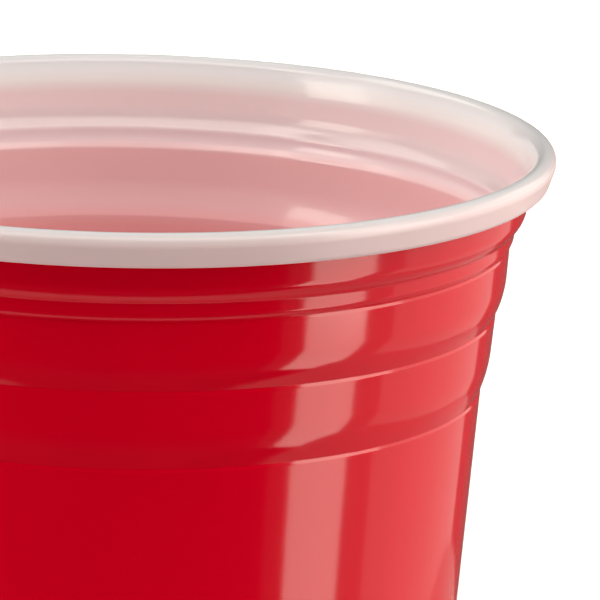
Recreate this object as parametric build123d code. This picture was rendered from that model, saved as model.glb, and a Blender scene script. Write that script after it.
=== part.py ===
from build123d import *
from math import radians, tan
import os

# A party cup formed from one plastic sheet, in millimetres.
# The origin is the centre of the foot and +Z runs up the axis.
# Sizes are those of the outer skin. Each band hangs from the lip of the one above it and is set in from that lip.
# An angle is in degrees: a lean is counted from the upright, the angles of the roll from their nearest axis.
# A knee share is the part of a band's height above its knee, a curve share the part below it that is curved.

# Whole cup
height = 120.0
rim_radius = 47.5
wall = 0.35

# Rolled rim: the sheet goes over the top, comes down leaning in and curls under towards the wall
roll_width = 2.8
roll_height = 3.8
roll_shoulder_radius = 1.2
roll_bottom_radius = 0.85
roll_inner_radius = 8.0
roll_gap = 0.3
roll_crown_angle = 66.0
roll_face_angle = 18.0
roll_tail_angle = 24.0

# Flared band under the rim, with a soft hollow below it
flare_height = 4.5
flare_hollow = 0.5
flare_lean_angle = 6.0
flare_knee_share = 0.775
flare_curve_share = 0.85

# Narrow ring
ring_inset = 1.45
ring_height = 2.4
ring_lean_angle = 12.0
ring_knee_share = 0.82
ring_curve_share = 0.4

# Upper bulge
upper_inset = 0.6
upper_height = 8.05
upper_lean_angle = 4.0
upper_knee_share = 0.7
upper_curve_share = 0.75

# Lower bulge
lower_inset = 1.34
lower_height = 8.85
lower_lean_angle = 5.5
lower_knee_share = 0.69
lower_curve_share = 0.65

# Small step back above the lips of the two bulges and of the wall
lip_depth = 0.12
lip_rise = 0.33
lip_round = 0.15

# Straight wall, with the fine step of a filling line
wall_inset = 1.44
wall_lean_angle = 4.36
line_drop = 8.7
line_step = 0.02
line_rise = 0.25

# Foot ring and raised base panel
foot_width = 4.6
foot_round = 1.6
panel_lift = 4.0
panel_round = 1.0
panel_lean_angle = 20.0

# Lips of the bands, from the rim down, and the foot below them
flare_lip = Vector(rim_radius - roll_width, height - roll_height)
ring_lip = flare_lip - Vector(ring_inset, flare_height)
upper_lip = ring_lip - Vector(upper_inset, ring_height)
lower_lip = upper_lip - Vector(lower_inset, upper_height)
wall_lip = lower_lip - Vector(wall_inset, lower_height)
wall_slope = tan(radians(wall_lean_angle))
foot_radius = wall_lip.X - line_step - wall_lip.Y * wall_slope


def heading(angle):
    """Unit direction in the section, counted from +X towards +Z."""
    return Vector(1, 0).rotate(Axis.Z, angle)


def meet(point, direction, other_point, other_direction):
    """Crossing of two lines of the section, each given by a point and a direction."""
    across = other_direction.rotate(Axis.Z, 90)
    reach = (other_point - point).dot(across) / direction.dot(across)
    return point + direction * reach


def tangent_corner(centre, radius, first_normal, second_normal):
    """Corner of two lines that touch one circle, each line given by the angle of its normal."""
    first = heading(first_normal)
    second = heading(second_normal)
    return centre + (first + second) * (radius / (1 + first.dot(second)))


def band_knee(lip, end, lean, knee_share, curve_share):
    """Knee of a band and its radius: the band leans in from its lip and is tucked in below the knee."""
    depth = (lip.Y - end.Y) * knee_share
    knee = lip - Vector(depth * tan(radians(lean)), depth)
    turn = (lip - knee).get_angle(knee - end)
    return knee, (knee - end).length * curve_share / tan(radians(turn / 2))


def parallel(corners, radii, distance):
    """Corners and radii of the line that runs at one distance to the left of a rounded outline."""
    runs = [(end - start).normalized() for start, end in zip(corners, corners[1:])]
    sides = [run.rotate(Axis.Z, 90) * distance for run in runs]
    moved = [corners[0] + sides[0]]
    moved_radii = []
    for k, radius in enumerate(radii):
        moved.append(meet(corners[k + 1] + sides[k], runs[k], corners[k + 1] + sides[k + 1], runs[k + 1]))
        turns_left = runs[k].cross(runs[k + 1]).Z > 0
        rounded = radius - distance if turns_left else radius + distance
        moved_radii.append(rounded if radius > 0 else 0)
    moved.append(corners[-1] + sides[-1])
    return moved, moved_radii


def base_corners():
    """Underside from the axis to the foot: raised panel, its slope, and the ring that the cup stands on."""
    slope_reach = panel_lift * tan(radians(panel_lean_angle))
    ring_inside = foot_radius - foot_width
    return [
        (Vector(0, panel_lift), 0),
        (Vector(ring_inside - slope_reach, panel_lift), panel_round),
        (Vector(ring_inside, 0), panel_round + wall),
        (Vector(foot_radius, 0), foot_round + wall),
    ]


def wall_corners():
    """Outer skin of the straight wall, from the filling line up to the lip."""
    line_top = wall_lip - Vector(line_drop * wall_slope, line_drop)
    line_foot = line_top - Vector(line_step, line_rise)
    return [(line_foot, 0), (line_top, 0), (wall_lip, lip_round + wall)]


def band_corners():
    """Outer skin of the stepped bands, from the lip of the straight wall up to the rim."""
    lip_back = Vector(-lip_depth, lip_rise)
    wall_back = wall_lip + lip_back
    lower_back = lower_lip + lip_back
    upper_back = upper_lip + lip_back
    return [
        (wall_back, lip_round),
        band_knee(lower_lip, wall_back, lower_lean_angle, lower_knee_share, lower_curve_share),
        (lower_lip, lip_round + wall),
        (lower_back, lip_round),
        band_knee(upper_lip, lower_back, upper_lean_angle, upper_knee_share, upper_curve_share),
        (upper_lip, lip_round + wall),
        (upper_back, lip_round),
        band_knee(ring_lip, upper_back, ring_lean_angle, ring_knee_share, ring_curve_share),
        (ring_lip, flare_hollow),
        band_knee(flare_lip, ring_lip, flare_lean_angle, flare_knee_share, flare_curve_share),
    ]


def roll_corners():
    """Inner face of the roll, from the crown over the outer face to the tail beside the wall."""
    crown_normal = 90 + roll_crown_angle
    face_normal = -roll_face_angle
    tail_normal = -90 - roll_tail_angle
    wall_heading = heading(90 - flare_lean_angle)
    shoulder_centre = Vector(rim_radius - roll_shoulder_radius, height - roll_shoulder_radius)
    face_start = shoulder_centre + heading(face_normal) * (roll_shoulder_radius - roll_bottom_radius)
    bottom_level = Vector(0, height - roll_height + roll_bottom_radius)
    bottom_centre = meet(face_start, heading(face_normal - 90), bottom_level, heading(0))
    shoulder = tangent_corner(shoulder_centre, roll_shoulder_radius - wall, crown_normal, face_normal)
    bottom = tangent_corner(bottom_centre, roll_bottom_radius - wall, face_normal, tail_normal)
    crown = meet(flare_lip, wall_heading, shoulder, heading(crown_normal - 90))
    tail = meet(bottom, heading(tail_normal - 90), flare_lip + Vector(wall + roll_gap, 0), wall_heading)
    return [
        (crown, roll_inner_radius - wall),
        (shoulder, roll_shoulder_radius - wall),
        (bottom, roll_bottom_radius - wall),
        (tail, 0),
    ]


def sheet_section():
    """Half section of the sheet: outer skin, edge of the roll's tail, inner skin and the axis."""
    outline = base_corners() + wall_corners() + band_corners() + roll_corners()
    outer = [point for point, radius in outline]
    outer_radii = [radius for point, radius in outline[1:-1]]
    inner, inner_radii = parallel(outer, outer_radii, wall)
    with BuildSketch(Plane.XZ) as section:
        with BuildLine():
            skin = FilletPolyline(*outer, radius=outer_radii)
            lining = FilletPolyline(*inner, radius=inner_radii)
            Line(skin @ 1, lining @ 1)
            Line(skin @ 0, lining @ 0)
        make_face()
    return section.sketch


os.makedirs("parts", exist_ok=True)
cup = revolve(sheet_section(), Axis.Z)
cup.label = "cup"
export_step(cup, "parts/cup.step")
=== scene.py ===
import bmesh
import bpy
from math import ceil, cos, pi, radians, sin, tan
from mathutils import Matrix, Vector


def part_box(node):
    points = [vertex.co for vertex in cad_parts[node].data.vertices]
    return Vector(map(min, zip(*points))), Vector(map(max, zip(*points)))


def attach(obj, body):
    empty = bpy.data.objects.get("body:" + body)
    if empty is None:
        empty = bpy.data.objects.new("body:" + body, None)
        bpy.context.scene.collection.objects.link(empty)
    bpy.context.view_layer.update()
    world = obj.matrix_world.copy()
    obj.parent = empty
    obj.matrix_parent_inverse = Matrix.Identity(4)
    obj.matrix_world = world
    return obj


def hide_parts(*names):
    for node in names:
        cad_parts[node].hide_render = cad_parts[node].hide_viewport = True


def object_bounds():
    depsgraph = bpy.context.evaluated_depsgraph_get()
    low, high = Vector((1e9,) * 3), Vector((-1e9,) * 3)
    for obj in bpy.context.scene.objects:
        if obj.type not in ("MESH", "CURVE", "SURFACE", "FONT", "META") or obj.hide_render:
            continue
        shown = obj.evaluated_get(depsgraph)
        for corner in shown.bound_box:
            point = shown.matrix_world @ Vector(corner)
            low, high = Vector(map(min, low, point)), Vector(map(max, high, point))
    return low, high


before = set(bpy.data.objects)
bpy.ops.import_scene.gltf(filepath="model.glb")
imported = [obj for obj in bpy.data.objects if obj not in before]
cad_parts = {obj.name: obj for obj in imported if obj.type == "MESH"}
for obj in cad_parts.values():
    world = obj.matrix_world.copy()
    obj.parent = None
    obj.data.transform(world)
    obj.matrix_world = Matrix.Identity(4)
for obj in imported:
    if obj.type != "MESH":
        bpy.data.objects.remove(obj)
cadLow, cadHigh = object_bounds()
mm = 0.001
print("frame loaded")


# Helpers for colours and nodes

def colour(code):
    parts = [int(code[k:k + 2], 16) / 255 for k in (1, 3, 5)]
    return [p / 12.92 if p <= 0.04045 else ((p + 0.055) / 1.055) ** 2.4 for p in parts] + [1.0]


def addNode(tree, kind, **sockets):
    node = tree.nodes.new("ShaderNode" + kind)
    for name, value in sockets.items():
        socket = node.inputs[name]
        if isinstance(value, bpy.types.NodeSocket):
            tree.links.new(value, socket)
        else:
            socket.default_value = value
    return node


def mapRange(tree, value, start, end, low=0.0, high=1.0):
    sockets = {"Value": value, "From Min": start, "From Max": end, "To Min": low, "To Max": high}
    return addNode(tree, "MapRange", **sockets).outputs["Result"]


def noise(tree, place, size, detail):  # size in millimetres
    return addNode(tree, "TexNoise", Vector=place, Scale=1 / (size * mm), Detail=detail).outputs["Fac"]


def newMaterial(name):
    material = bpy.data.materials.new(name)
    material.use_nodes = True
    return material, material.node_tree.nodes["Principled BSDF"]


# Cup: one sheet, red outside and white inside, drawn as the two lines of its skins and turned about the axis

cup = {  # millimetres and degrees: the sizes of the solid, with a finer ring and a softer inside
    "wall": 0.35,
    "rollWidth": 2.8, "rollHeight": 3.8, "rollShoulder": 1.2, "rollBottom": 0.85,
    "rollInner": 8.0, "rollGap": 0.3,
    "rollCrownAngle": 66.0, "rollFaceAngle": 18.0, "rollTailAngle": 24.0,
    "flare": {"height": 4.5, "lean": 6.0, "kneeShare": 0.805, "curveShare": 0.85},
    "ring": {"inset": 1.45, "height": 2.52, "lean": 7.6, "kneeShare": 0.75, "curveShare": 0.5},
    "upper": {"inset": 0.6, "height": 7.93, "lean": 4.0, "kneeShare": 0.7, "curveShare": 0.75},
    "lower": {"inset": 1.34, "height": 8.85, "lean": 5.5, "kneeShare": 0.69, "curveShare": 0.65},
    "inside": {  # how the white skin runs behind the flare and the ring
        "flare": {"lean": 6.0, "kneeShare": 0.68, "curveShare": 0.6},
        "ring": {"lean": 5.0, "kneeShare": 0.5, "curveShare": 0.5},
    },
    "hollow": 0.5,
    "lipDepth": 0.12, "lipRise": 0.33, "lipRound": 0.15, "lipEdge": 0.2, "lipInside": 0.3,
    "wallInset": 1.44, "wallLean": 4.36,
    "lineDrop": 8.7, "lineStep": 0.02, "lineRise": 0.25, "lineRound": 0.1,
    "footWidth": 4.6, "footRound": 1.6, "panelLift": 4.0, "panelRound": 1.0, "panelLean": 20.0,
    "steps": 192, "arcStep": 4.0, "weld": 0.001,
}


def heading(angle):
    return Vector((cos(radians(angle)), sin(radians(angle))))


def crossing(point, way, otherPoint, otherWay):
    across = Vector((-otherWay.y, otherWay.x))
    return point + way * ((otherPoint - point).dot(across) / way.dot(across))


def tangentCorner(centre, radius, firstNormal, secondNormal):
    first = heading(firstNormal)
    second = heading(secondNormal)
    return centre + (first + second) * (radius / (1 + first.dot(second)))


def bandKnee(band, lip, end):
    depth = (lip.y - end.y) * band["kneeShare"]
    knee = lip - Vector((depth * tan(radians(band["lean"])), depth))
    turn = (lip - knee).angle(knee - end)
    return knee, (knee - end).length * band["curveShare"] / tan(turn / 2)


def lipCorners(lip, back, stepped):  # the white skin has no step behind a lip
    if stepped:
        return [(lip, cup["lipEdge"]), (lip + back, cup["lipRound"])]
    return [(lip + back, cup["lipInside"])]


def sectionCorners(rimRadius, height, stepped):
    wall = cup["wall"]
    back = Vector((-cup["lipDepth"], cup["lipRise"]))
    bands = cup if stepped else {**cup, **cup["inside"]}
    flareLip = Vector((rimRadius - cup["rollWidth"], height - cup["rollHeight"]))
    ringLip = flareLip - Vector((cup["ring"]["inset"], cup["flare"]["height"]))
    upperLip = ringLip - Vector((cup["upper"]["inset"], cup["ring"]["height"]))
    lowerLip = upperLip - Vector((cup["lower"]["inset"], cup["upper"]["height"]))
    wallLip = lowerLip - Vector((cup["wallInset"], cup["lower"]["height"]))

    slope = tan(radians(cup["wallLean"]))
    footRadius = wallLip.x - cup["lineStep"] - wallLip.y * slope
    ringInside = footRadius - cup["footWidth"]
    panelEdge = ringInside - cup["panelLift"] * tan(radians(cup["panelLean"]))
    lineTop = wallLip - Vector((slope, 1)) * cup["lineDrop"]
    lineFoot = lineTop - Vector((cup["lineStep"], cup["lineRise"]))

    crownNormal = 90 + cup["rollCrownAngle"]
    faceNormal = -cup["rollFaceAngle"]
    tailNormal = -90 - cup["rollTailAngle"]
    shoulder = cup["rollShoulder"]
    bottom = cup["rollBottom"]
    wallWay = heading(90 - cup["flare"]["lean"])
    shoulderCentre = Vector((rimRadius - shoulder, height - shoulder))
    faceStart = shoulderCentre + heading(faceNormal) * (shoulder - bottom)
    bottomLevel = Vector((0, flareLip.y + bottom))
    bottomCentre = crossing(faceStart, heading(faceNormal - 90), bottomLevel, heading(0))
    shoulderCorner = tangentCorner(shoulderCentre, shoulder - wall, crownNormal, faceNormal)
    bottomCorner = tangentCorner(bottomCentre, bottom - wall, faceNormal, tailNormal)
    crown = crossing(flareLip, wallWay, shoulderCorner, heading(crownNormal - 90))
    tailStop = flareLip + Vector((wall + cup["rollGap"], 0))
    tail = crossing(bottomCorner, heading(tailNormal - 90), tailStop, wallWay)
    return [
        (Vector((0, cup["panelLift"])), 0),
        (Vector((panelEdge, cup["panelLift"])), cup["panelRound"]),
        (Vector((ringInside, 0)), cup["panelRound"] + wall),
        (Vector((footRadius, 0)), cup["footRound"] + wall),
        (lineFoot, cup["lineRound"]),
        (lineTop, cup["lineRound"] + wall),
        *lipCorners(wallLip, back, stepped),
        bandKnee(bands["lower"], lowerLip, wallLip + back),
        *lipCorners(lowerLip, back, stepped),
        bandKnee(bands["upper"], upperLip, lowerLip + back),
        *lipCorners(upperLip, back, stepped),
        bandKnee(bands["ring"], ringLip, upperLip + back),
        (ringLip, cup["hollow"]),
        bandKnee(bands["flare"], flareLip, ringLip),
        (crown, cup["rollInner"] - wall),
        (shoulderCorner, shoulder - wall),
        (bottomCorner, bottom - wall),
        (tail, 0),
    ]


def insetCorners(corners):  # the line one wall to the left, ending with the edge of the tail
    points = [point for point, radius in corners]
    runs = [(after - before).normalized() for before, after in zip(points, points[1:])]
    sides = [Vector((-run.y, run.x)) * cup["wall"] for run in runs]
    inset = [(points[0] + sides[0], 0)]
    for k, (corner, radius) in enumerate(corners[1:-1]):
        turnsLeft = runs[k].cross(runs[k + 1]) > 0
        rounded = radius - cup["wall"] if turnsLeft else radius + cup["wall"]
        inset.append((crossing(corner + sides[k], runs[k], corner + sides[k + 1], runs[k + 1]), rounded))
    return inset + [(points[-1] + sides[-1], 0), (points[-1], 0)]


def inSection(point):
    return Vector((point.x, 0, point.y)) * mm


def drawSection(bm, corners):
    tip = bm.verts.new(inSection(corners[0][0]))
    points = [point for point, radius in corners]
    for before, (corner, radius), after in zip(points, corners[1:], points[2:]):
        runIn = (corner - before).normalized()
        runOut = (after - corner).normalized()
        turn = -runIn.angle_signed(runOut)
        start = corner - runIn * radius * tan(abs(turn) / 2)
        tip = bmesh.ops.extrude_vert_indiv(bm, verts=[tip])["verts"][0]
        tip.co = inSection(start)
        if radius == 0:
            continue
        side = Vector((-runIn.y, runIn.x)) * (radius if turn > 0 else -radius)
        arc = bmesh.ops.spin(bm, geom=[tip], cent=inSection(start + side), axis=(0, -1, 0), angle=turn,
                             steps=ceil(abs(turn) / radians(cup["arcStep"])))
        tip = arc["geom_last"][0]
    tip = bmesh.ops.extrude_vert_indiv(bm, verts=[tip])["verts"][0]
    tip.co = inSection(points[-1])


def makeCup(red, white):
    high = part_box("cup")[1]
    bm = bmesh.new()
    outside = sectionCorners(high.x / mm, high.z / mm, True)
    inside = insetCorners(sectionCorners(high.x / mm, high.z / mm, False))
    for layer, corners in enumerate((outside, inside)):
        done = len(bm.faces)
        drawSection(bm, corners)
        line = [edge for edge in bm.edges if edge.is_wire]
        dots = {vert for edge in line for vert in edge.verts}
        bmesh.ops.spin(bm, geom=list(dots) + line, cent=(0, 0, 0), axis=(0, 0, 1), angle=2 * pi,
                       steps=cup["steps"], use_merge=True)
        bm.faces.ensure_lookup_table()
        for face in bm.faces[done:]:
            face.material_index = layer
    bmesh.ops.remove_doubles(bm, verts=bm.verts, dist=cup["weld"] * mm)
    bmesh.ops.recalc_face_normals(bm, faces=bm.faces)
    for face in bm.faces:
        face.smooth = True
    mesh = bpy.data.meshes.new("cupSheet")
    bm.to_mesh(mesh)
    bm.free()
    mesh.materials.append(red)
    mesh.materials.append(white)
    piece = bpy.data.objects.new("cupSheet", mesh)
    bpy.context.scene.collection.objects.link(piece)
    shading = piece.modifiers.new("shading", "WEIGHTED_NORMAL")
    shading.keep_sharp = True
    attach(piece, "root")
    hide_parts("cup")


# Red layer of the polystyrene sheet: a saturated gloss skin, faintly uneven from forming

redLook = {  # sizes of its clouds, waves and peel, and the depth of the last two, in millimetres
    "deep": "#D00020", "bright": "#D60022", "cloud": 14.0, "cloudDetail": 2.0,
    "wave": 7.0, "waveDepth": 0.012, "peel": 0.5, "peelDepth": 0.0012, "skinDetail": 1.0,
    "roughLow": 0.08, "roughHigh": 0.11, "index": 1.59,
}


def redPolystyrene():
    material, shader = newMaterial("redPolystyrene")
    tree = material.node_tree
    place = addNode(tree, "TexCoord").outputs["Object"]
    cloud = noise(tree, place, redLook["cloud"], redLook["cloudDetail"])
    wave = noise(tree, place, redLook["wave"], redLook["skinDetail"])
    peel = noise(tree, place, redLook["peel"], redLook["skinDetail"])
    deep = colour(redLook["deep"])
    bright = colour(redLook["bright"])
    baseColour = addNode(tree, "MixRGB", Fac=cloud, Color1=deep, Color2=bright)
    rough = mapRange(tree, cloud, 0, 1, redLook["roughLow"], redLook["roughHigh"])
    waved = addNode(tree, "Bump", Height=wave, Distance=redLook["waveDepth"] * mm, Strength=1.0)
    skin = addNode(tree, "Bump", Height=peel, Distance=redLook["peelDepth"] * mm, Strength=1.0,
                   Normal=waved.outputs["Normal"])
    tree.links.new(baseColour.outputs["Color"], shader.inputs["Base Color"])
    tree.links.new(rough, shader.inputs["Roughness"])
    tree.links.new(skin.outputs["Normal"], shader.inputs["Normal"])
    shader.inputs["IOR"].default_value = redLook["index"]
    return material


# White layer of the same sheet: a gloss skin, duller on the roll, pinker where the red shows through, and
# with painted light and shade in its colour: a red glow of light through the wall, light and dark bands and a
# darker roll face

whiteLook = {  # millimetres: colours at drops below the rim (partly painted light and shade), and where the roll's outside starts and ends
    # The drop colours: pinker deeper down, partly because the white thins over the red and partly as a
    # painted glow of light through the red wall; the lighter and darker bands from 4 to 10 mm are painted
    # light and shade on the tucks; the darker crest is painted shade
    "drops": {
        0.4: "#E1E3EC", 1.4: "#EFF1F9", 2.7: "#F7F5F9", 4.1: "#F3DEE4", 5.8: "#F5E0E7",
        6.8: "#E3CFD6", 7.8: "#E1CED5", 8.3: "#F0D9E1", 9.4: "#F4DDE6", 10.8: "#F7C6CC",
        16.7: "#F7CAD2", 19.5: "#F6ADB2", 28.5: "#E29598", 40.0: "#EBBABD", 60.0: "#F3DFE2",
    },
    # the roll's outside: pinker where the white thins over the red, and darker with painted shade on its face
    "roll": "#E5CACE", "rollStart": 46.7, "rollEnd": 48.4, "rollReach": 4.0, "rollShare": 0.6,
    "peel": 1.1, "peelDepth": 0.0008, "skinDetail": 1.0, "rough": 0.12, "rollRough": 0.36, "index": 1.59,
}


def whitePolystyrene():
    material, shader = newMaterial("whitePolystyrene")
    tree = material.node_tree
    place = addNode(tree, "TexCoord").outputs["Object"]
    axes = addNode(tree, "SeparateXYZ", Vector=place).outputs
    deepest = max(whiteLook["drops"]) * mm
    drop = mapRange(tree, axes["Z"], cadHigh.z, cadHigh.z - deepest)
    # colour by drop below the rim, with its painted light and shade
    layer = addNode(tree, "ValToRGB", Fac=drop)
    stops = layer.color_ramp.elements
    stops.remove(stops[0])
    for depth, code in whiteLook["drops"].items():
        stops[-1].color = colour(code)  # the ramp's own end stop takes the deepest colour
        if depth * mm < deepest:
            stop = stops.new(depth * mm / deepest)
            stop.color = colour(code)

    ground = addNode(tree, "CombineXYZ", X=axes["X"], Y=axes["Y"])
    radius = addNode(tree, "VectorMath")
    radius.operation = "LENGTH"
    tree.links.new(ground.outputs["Vector"], radius.inputs[0])
    rollReach = whiteLook["rollReach"] * mm
    under = mapRange(tree, axes["Z"], cadHigh.z, cadHigh.z - rollReach, 0, rollReach * whiteLook["rollShare"])
    along = addNode(tree, "Math")  # radius plus a share of the drop, because the roll's face leans in, so the roll's colour and its painted shade grow down the face
    tree.links.new(radius.outputs["Value"], along.inputs[0])
    tree.links.new(under, along.inputs[1])
    outside = mapRange(tree, along.outputs["Value"], whiteLook["rollStart"] * mm, whiteLook["rollEnd"] * mm)

    roll = colour(whiteLook["roll"])
    # base colour: the drop colours, turning to the roll's colour on its outside; both carry painted light and
    # shade
    baseColour = addNode(tree, "MixRGB", Fac=outside, Color1=layer.outputs["Color"], Color2=roll)
    rough = mapRange(tree, outside, 0, 1, whiteLook["rough"], whiteLook["rollRough"])
    peel = noise(tree, place, whiteLook["peel"], whiteLook["skinDetail"])
    skin = addNode(tree, "Bump", Height=peel, Distance=whiteLook["peelDepth"] * mm, Strength=1.0)
    tree.links.new(baseColour.outputs["Color"], shader.inputs["Base Color"])
    tree.links.new(rough, shader.inputs["Roughness"])
    tree.links.new(skin.outputs["Normal"], shader.inputs["Normal"])
    shader.inputs["IOR"].default_value = whiteLook["index"]
    return material


makeCup(redPolystyrene(), whitePolystyrene())
print("cup made")


# Pale floor for the camera, and under it a grey board and a pale disc that send light back to the cup

floor = {  # metres
    "radius": 6.0, "segments": 128, "front": -0.15, "drop": 0.0003, "bounceDrop": 0.0009,
    "paint": "#F1F5FF", "rough": 0.9,
}
board = {  # metres
    "half": 0.185, "front": -0.075, "back": 0.2, "drop": 0.0006,
    "corner": 0.06, "cornerSteps": 12, "cornerProfile": 0.5, "paint": "#A6A6A6", "rough": 0.9,
}


def stageMesh(name, bm, look):
    paint, shader = newMaterial(name + "Paint")
    shader.inputs["Base Color"].default_value = colour(look["paint"])
    shader.inputs["Roughness"].default_value = look["rough"]
    mesh = bpy.data.meshes.new(name)
    bm.to_mesh(mesh)
    bm.free()
    mesh.materials.append(paint)
    piece = bpy.data.objects.new(name, mesh)
    bpy.context.scene.collection.objects.link(piece)
    piece.visible_shadow = False
    return piece


def makeFloor(name, middle, drop, seen):
    bm = bmesh.new()
    place = Matrix.Translation((0, middle, -drop))
    bmesh.ops.create_circle(bm, cap_ends=True, radius=floor["radius"], segments=floor["segments"],
                            matrix=place)
    ground = stageMesh(name, bm, floor)
    ground.visible_camera = seen
    ground.visible_diffuse = not seen  # the floor in view sends no light back, the disc below it does
    ground.visible_glossy = False


def makeBoard():
    bm = bmesh.new()
    bmesh.ops.create_grid(bm, x_segments=1, y_segments=1, size=0.5)  # a unit square
    depth = board["back"] - board["front"]
    bmesh.ops.scale(bm, verts=bm.verts, vec=(2 * board["half"], depth, 1))
    bmesh.ops.translate(bm, verts=bm.verts, vec=(0, board["front"] + depth / 2, -board["drop"]))
    bmesh.ops.bevel(bm, geom=bm.verts[:], offset=board["corner"], affect="VERTICES",
                    segments=board["cornerSteps"], profile=board["cornerProfile"], material=-1)
    card = stageMesh("board", bm, board)
    card.visible_camera = False


# Studio light: on each side a bright strip and a broad dimmer panel behind it, and two soft panels overhead

panels = {  # degrees round the cup from the front and above its rim, radiance on the right and the left
    "stripEdge": {"start": 47.0, "end": 54.9, "low": -43, "high": 27, "right": 0.12, "left": 0.12},
    "stripLow": {"start": 54.9, "end": 76.0, "low": -43, "high": -20.5, "right": 3.0, "left": 3.0},
    "stripHigh": {"start": 54.9, "end": 76.0, "low": -20.5, "high": 27, "right": 4.5, "left": 4.1},
    "stripTop": {"start": 54.9, "end": 76.0, "low": 27, "high": 58, "right": 2.4, "left": 1.7},
    "gapLow": {"start": 76.0, "end": 87.4, "low": -43, "high": -6, "right": 0.4, "left": 0.4},
    "gapHigh": {"start": 76.0, "end": 87.4, "low": -6, "high": 50, "right": 4.0, "left": 1.7},
    "broadLow": {"start": 87.4, "end": 144.0, "low": -43, "high": -6, "right": 0.8, "left": 0.8},
    "broadHigh": {"start": 87.4, "end": 144.0, "low": -6, "high": 30, "right": 1.5, "left": 0.8},
    "broadTop": {"start": 87.4, "end": 144.0, "low": 30, "high": 56, "right": 0.3, "left": 2.6},
    "rear": {"start": 144.0, "end": 176.0, "low": -43, "high": 52, "right": 0.14, "left": 0.14},
}
overhead = {  # metres, radiance and degrees of spread
    "front": {"width": 3.0, "depth": 1.0, "height": 1.6, "shift": -0.8, "radiance": 2.3, "spread": 180},
    "background": {"width": 1.6, "depth": 0.6, "height": 1.0, "shift": 0.75, "radiance": 2.0, "spread": 60},
}
studio = {"distance": 1.0, "spread": 180, "tint": "#FFF8EB", "backdrop": "#FFFFFF"}


def areaLight(name, width, height, radiance, spread, place):
    lamp = bpy.data.lights.new(name, "AREA")
    lamp.color = colour(studio["tint"])[:3]
    lamp.shape = "RECTANGLE"
    lamp.size = width
    lamp.size_y = height
    lamp.energy = radiance * pi * width * height
    lamp.spread = radians(spread)
    source = bpy.data.objects.new(name, lamp)
    source.matrix_world = place
    source.visible_camera = False
    bpy.context.scene.collection.objects.link(source)


def sidePanel(name, panel, side):
    middle = radians((panel["start"] + panel["end"]) / 2) * (1 if side == "right" else -1)
    half = radians(panel["end"] - panel["start"]) / 2
    reach = studio["distance"]
    low = cadHigh.z + reach * tan(radians(panel["low"]))
    high = cadHigh.z + reach * tan(radians(panel["high"]))
    turn = Matrix.Rotation(middle, 4, "Z")
    place = turn @ Matrix.Translation((0, -reach, (low + high) / 2)) @ Matrix.Rotation(pi / 2, 4, "X")
    areaLight(name + side.title(), 2 * reach * tan(half), high - low, panel[side], studio["spread"], place)


def makeLights():
    for name, panel in panels.items():
        sidePanel(name, panel, "right")
        sidePanel(name, panel, "left")
    for name, lamp in overhead.items():
        place = Matrix.Translation((0, lamp["shift"], lamp["height"]))
        areaLight(name, lamp["width"], lamp["depth"], lamp["radiance"], lamp["spread"], place)
    world = bpy.data.worlds.new("studio")
    world.use_nodes = True
    world.node_tree.nodes["Background"].inputs["Color"].default_value = colour(studio["backdrop"])
    world.cycles_visibility.diffuse = False  # a white backdrop that only the camera sees
    world.cycles_visibility.glossy = False
    bpy.context.scene.world = world


# Camera where the photograph was taken from

camera = {  # metres and degrees, the lens and its sensor in millimetres
    "distance": 0.6745, "elevation": 12.414, "rimCentreDrop": 0.00121,
    "turn": 1.688, "pitch": 13.813, "roll": 1.453, "lens": 363.75, "sensor": 36.0,
}


def makeCamera():
    lens = bpy.data.cameras.new("camera")
    lens.lens = camera["lens"]
    lens.sensor_width = camera["sensor"]
    eye = bpy.data.objects.new("camera", lens)
    rise = radians(camera["elevation"])
    level = cadHigh.z - camera["rimCentreDrop"]
    stand = Vector((0, -cos(rise), sin(rise))) * camera["distance"] + Vector((0, 0, level))
    turn = Matrix.Rotation(radians(-camera["turn"]), 4, "Z")
    tilt = Matrix.Rotation(radians(90 - camera["pitch"]), 4, "X")
    roll = Matrix.Rotation(radians(camera["roll"]), 4, "Z")
    eye.matrix_world = Matrix.Translation(stand) @ turn @ tilt @ roll
    bpy.context.scene.collection.objects.link(eye)
    bpy.context.scene.camera = eye
    bpy.context.scene.view_settings.view_transform = "Standard"


makeFloor("floor", 0, floor["drop"], True)
makeFloor("floorBounce", floor["radius"] + floor["front"], floor["bounceDrop"], False)
makeBoard()
makeLights()
makeCamera()
print("stage set")
